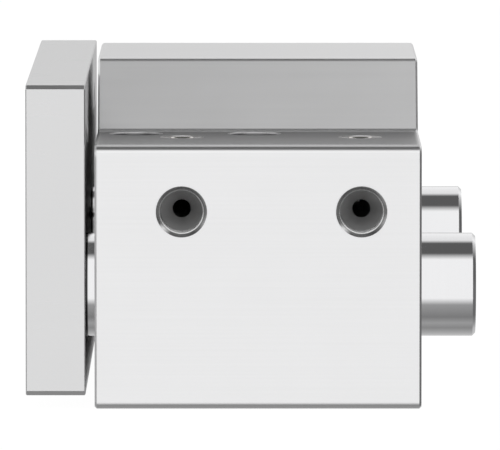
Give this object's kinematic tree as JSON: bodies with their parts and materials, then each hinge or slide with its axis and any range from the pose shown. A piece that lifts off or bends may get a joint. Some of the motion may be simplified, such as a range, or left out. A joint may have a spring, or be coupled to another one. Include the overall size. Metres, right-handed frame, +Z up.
{
  "type": "guided pneumatic cylinder",
  "caption": "Short-stroke guided pneumatic cylinder: a yoke plate on chromed guide rods and a piston rod slides out of a crowned aluminium housing with threaded air ports.",
  "frame": {"origin": "centre of the four foot threads on the housing's flat underside", "axes": "+X along the stroke axis from the yoke plate to the rear of the housing, the plate extends towards -X; +Z up from the underside; air ports on the -Y side"},
  "size_m": [0.0868, 0.148, 0.0648],
  "materials": {
    "housing_aluminium": "clear anodised, fine brushed grain",
    "plate_aluminium": "clear anodised, fine brushed grain",
    "cover_aluminium": "turned, clear anodised",
    "piston_aluminium": "turned",
    "rod_chrome": "hard chromed, ground and polished",
    "plug_nickel": "nickel plated",
    "screw_steel": "zinc plated",
    "spring_steel": "phosphated",
    "bush_bronze": "sintered bronze",
    "seal_rubber": "smooth",
    "buffer_elastomer": "smooth",
    "wear_polymer": "smooth",
    "magnet_compound": "plain"
  },
  "bodies": {
    "base": {"housing": "housing_aluminium", "rod_cover": "cover_aluminium", "rod_cover_o_ring": "seal_rubber", "rod_cover_circlip": "spring_steel", "rod_bush": "bush_bronze", "rod_wiper": "seal_rubber", "front_buffer": "buffer_elastomer", "rear_cover": "cover_aluminium", "rear_cover_o_ring": "seal_rubber", "rear_cover_circlip": "spring_steel", "rear_buffer": "buffer_elastomer", "port_side_front_guide_bush": "bush_bronze", "port_side_rear_guide_bush": "bush_bronze", "plain_side_front_guide_bush": "bush_bronze", "plain_side_rear_guide_bush": "bush_bronze", "port_side_guide_wiper": "seal_rubber", "plain_side_guide_wiper": "seal_rubber", "front_port_plug": "plug_nickel", "rear_port_plug": "plug_nickel"},
    "carriage": {"yoke_plate": "plate_aluminium", "port_side_guide_rod": "rod_chrome", "plain_side_guide_rod": "rod_chrome", "piston_rod": "rod_chrome", "piston": "piston_aluminium", "piston_seal": "seal_rubber", "piston_magnet": "magnet_compound", "piston_wear_ring": "wear_polymer", "piston_screw": "screw_steel", "guide_rod_screws": "screw_steel", "piston_rod_screw": "screw_steel"}
  },
  "joints": [
    {"name": "plate_stroke", "type": "slide", "parent": "base", "child": "carriage", "axis": [-1, 0, 0], "range_m": [0, 0.02]}
  ]
}
